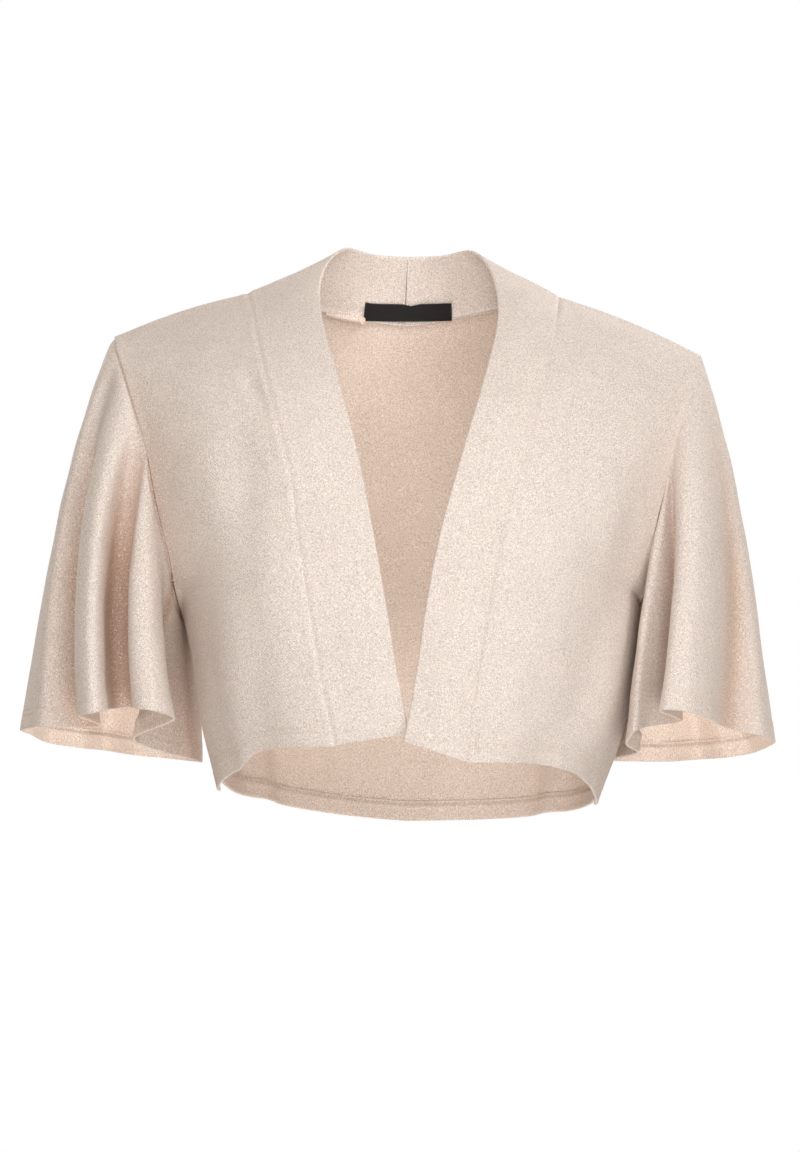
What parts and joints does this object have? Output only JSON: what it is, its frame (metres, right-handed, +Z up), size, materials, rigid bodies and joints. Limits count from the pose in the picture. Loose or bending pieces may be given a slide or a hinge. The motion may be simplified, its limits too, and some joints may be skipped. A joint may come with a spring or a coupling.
{
  "type": "bolero jacket",
  "caption": "Open collarless cropped jacket in metallic crepe with a wide double front band and short flounced sleeves, hollow as if worn.",
  "frame": {"origin": "middle of the neck opening between the shoulder seams, where the wearer's neck and shoulders hold the jacket", "axes": "+X towards the wearer's left sleeve, the front faces -Y, +Z up"},
  "size_m": [0.5309, 0.2369, 0.4068],
  "materials": {
    "crepe": "fine grained with a metallic sparkle",
    "label": "smooth woven satin"
  },
  "bodies": {
    "root": {"back": "crepe", "band_left": "crepe", "band_right": "crepe", "front_left": "crepe", "front_right": "crepe", "neck_label": "label", "sleeve_left": "crepe", "sleeve_right": "crepe"}
  },
  "joints": []
}
